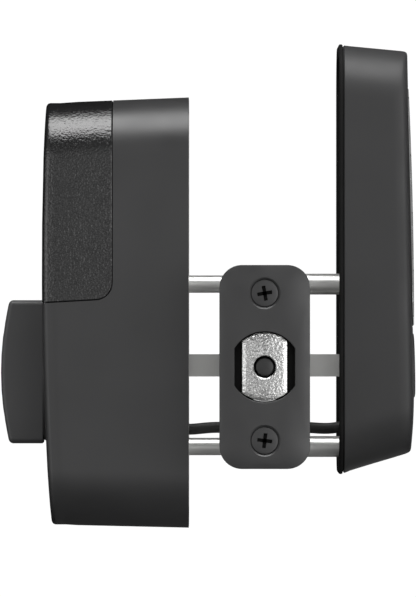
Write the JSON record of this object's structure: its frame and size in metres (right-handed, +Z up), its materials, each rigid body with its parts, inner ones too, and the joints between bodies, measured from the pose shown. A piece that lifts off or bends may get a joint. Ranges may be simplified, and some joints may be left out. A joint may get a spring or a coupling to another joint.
{
  "type": "keypad smart lock",
  "caption": "Keypad smart lock for a door: outside unit with push keys and key cylinder, tubular deadbolt latch, inside unit with battery cover and thumbturn.",
  "frame": {"origin": "on the spindle axis, at the outside face of the door", "axes": "+Z up, +X away from the outside face of the door, -Y towards the edge of the door, the way the bolt is thrown"},
  "size_m": [0.1187, 0.0951, 0.1377],
  "materials": {
    "black_metal": "satin powder coat",
    "seal_rubber": "matt",
    "panel_gloss": "polished",
    "key_gloss": "polished, light figures",
    "mat_silicone": "matt, translucent grey",
    "board_green": "solder mask",
    "steel": "plain",
    "zinc_cast": "cast, bead blasted",
    "dark_steel": "hardened, dark",
    "brass": "turned",
    "black_satin": "satin black plating",
    "black_plastic": "moulded",
    "cover_plastic": "coarse grain",
    "white_plastic": "moulded acetal",
    "cord_black": "jacket",
    "wire_jacket": "red and black jackets",
    "cell_sleeve": "printed sleeve without words",
    "contact_nickel": "nickel plated",
    "shield_tin": "tinned"
  },
  "bodies": {
    "base": {"outer_seal": "seal_rubber", "outer_back_plate": "steel", "outer_plate_screws": "steel", "outer_housing": "black_metal", "keypad_lens": "panel_gloss", "keypad_mat": "mat_silicone", "keypad_board": "board_green", "board_screws": "steel", "cylinder_shell": "black_satin", "driver_pins": "steel", "cylinder_screws": "steel", "through_bolts": "steel", "link_cable": "cord_black", "link_plugs": "white_plastic", "face_plate": "black_satin", "latch_backing_plate": "dark_steel", "latch_tube": "steel", "latch_cage": "steel", "detent_spring": "steel", "face_screws": "black_satin", "inner_plate": "steel", "inner_housing": "black_metal", "battery_tray": "black_plastic", "batteries": "cell_sleeve", "battery_contacts": "contact_nickel", "control_board": "board_green", "radio_module": "shield_tin", "position_sensor": "black_plastic", "gear_motor": "steel", "motor_wires": "wire_jacket", "idler_axle": "steel", "gearbox_plate": "black_plastic", "turn_bushing": "white_plastic", "housing_screws": "steel"},
    "spindle": {"tailpiece": "steel", "latch_cam": "zinc_cast", "thumbturn_shaft": "steel", "drive_gear": "white_plastic", "thumbturn": "black_metal", "thumbturn_screw": "dark_steel"},
    "deadbolt": {"bolt": "zinc_cast", "bolt_pin": "dark_steel", "bolt_bar": "steel"},
    "idler": {"idler_gear": "white_plastic"},
    "pinion": {"motor_pinion": "brass"},
    "plug": {"cylinder_plug": "brass", "key_pins": "brass"},
    "cover": {"battery_cover": "cover_plastic"},
    "key_1_button": {"key_1": "key_gloss"},
    "key_2_button": {"key_2": "key_gloss"},
    "key_3_button": {"key_3": "key_gloss"},
    "key_4_button": {"key_4": "key_gloss"},
    "key_5_button": {"key_5": "key_gloss"},
    "key_6_button": {"key_6": "key_gloss"},
    "key_7_button": {"key_7": "key_gloss"},
    "key_8_button": {"key_8": "key_gloss"},
    "key_9_button": {"key_9": "key_gloss"},
    "key_lock_button": {"key_lock": "key_gloss"},
    "key_0_button": {"key_0": "key_gloss"},
    "key_enter_button": {"key_enter": "key_gloss"}
  },
  "joints": [
    {"name": "thumbturn_turn", "type": "hinge", "parent": "base", "child": "spindle", "pos_m": [0, 0, 0], "axis": [1, 0, 0], "range_deg": [0, 90]},
    {"name": "bolt_slide", "type": "slide", "parent": "base", "child": "deadbolt", "axis": [0, -1, 0], "range_m": [0, 0.0254]},
    {"name": "idler_spin", "type": "hinge", "parent": "base", "child": "idler", "pos_m": [-0.055, -0.019, -0.0126], "axis": [1, 0, 0], "range_deg": [-338, 0]},
    {"name": "pinion_spin", "type": "hinge", "parent": "base", "child": "pinion", "pos_m": [-0.058, -0.01428, -0.02557], "axis": [1, 0, 0], "range_deg": [0, 1216]},
    {"name": "key_turn", "type": "hinge", "parent": "base", "child": "plug", "pos_m": [0.012, 0, 0], "axis": [1, 0, 0], "range_deg": [0, 90]},
    {"name": "cover_slide", "type": "slide", "parent": "base", "child": "cover", "axis": [0, 0, 1], "range_m": [0, 0.06]},
    {"name": "key_1_press", "type": "slide", "parent": "base", "child": "key_1_button", "axis": [-0.9998, 0, -0.0201], "range_m": [0, 0.0008], "stiffness_N_per_m": 400, "springref_m": -0.0004, "deforming": ["keypad_mat"]},
    {"name": "key_2_press", "type": "slide", "parent": "base", "child": "key_2_button", "axis": [-0.9998, 0, -0.0201], "range_m": [0, 0.0008], "stiffness_N_per_m": 400, "springref_m": -0.0004, "deforming": ["keypad_mat"]},
    {"name": "key_3_press", "type": "slide", "parent": "base", "child": "key_3_button", "axis": [-0.9998, 0, -0.0201], "range_m": [0, 0.0008], "stiffness_N_per_m": 400, "springref_m": -0.0004, "deforming": ["keypad_mat"]},
    {"name": "key_4_press", "type": "slide", "parent": "base", "child": "key_4_button", "axis": [-0.9998, 0, -0.0201], "range_m": [0, 0.0008], "stiffness_N_per_m": 400, "springref_m": -0.0004, "deforming": ["keypad_mat"]},
    {"name": "key_5_press", "type": "slide", "parent": "base", "child": "key_5_button", "axis": [-0.9998, 0, -0.0201], "range_m": [0, 0.0008], "stiffness_N_per_m": 400, "springref_m": -0.0004, "deforming": ["keypad_mat"]},
    {"name": "key_6_press", "type": "slide", "parent": "base", "child": "key_6_button", "axis": [-0.9998, 0, -0.0201], "range_m": [0, 0.0008], "stiffness_N_per_m": 400, "springref_m": -0.0004, "deforming": ["keypad_mat"]},
    {"name": "key_7_press", "type": "slide", "parent": "base", "child": "key_7_button", "axis": [-0.9998, 0, -0.0201], "range_m": [0, 0.0008], "stiffness_N_per_m": 400, "springref_m": -0.0004, "deforming": ["keypad_mat"]},
    {"name": "key_8_press", "type": "slide", "parent": "base", "child": "key_8_button", "axis": [-0.9998, 0, -0.0201], "range_m": [0, 0.0008], "stiffness_N_per_m": 400, "springref_m": -0.0004, "deforming": ["keypad_mat"]},
    {"name": "key_9_press", "type": "slide", "parent": "base", "child": "key_9_button", "axis": [-0.9998, 0, -0.0201], "range_m": [0, 0.0008], "stiffness_N_per_m": 400, "springref_m": -0.0004, "deforming": ["keypad_mat"]},
    {"name": "key_lock_press", "type": "slide", "parent": "base", "child": "key_lock_button", "axis": [-0.9998, 0, -0.0201], "range_m": [0, 0.0008], "stiffness_N_per_m": 400, "springref_m": -0.0004, "deforming": ["keypad_mat"]},
    {"name": "key_0_press", "type": "slide", "parent": "base", "child": "key_0_button", "axis": [-0.9998, 0, -0.0201], "range_m": [0, 0.0008], "stiffness_N_per_m": 400, "springref_m": -0.0004, "deforming": ["keypad_mat"]},
    {"name": "key_enter_press", "type": "slide", "parent": "base", "child": "key_enter_button", "axis": [-0.9998, 0, -0.0201], "range_m": [0, 0.0008], "stiffness_N_per_m": 400, "springref_m": -0.0004, "deforming": ["keypad_mat"]}
  ],
  "couplings": [
    {"joint": "bolt_slide", "follows": "thumbturn_turn", "m_per_rad": 0.01617},
    {"joint": "idler_spin", "follows": "thumbturn_turn", "ratio": -3.75},
    {"joint": "pinion_spin", "follows": "thumbturn_turn", "ratio": 13.5}
  ]
}
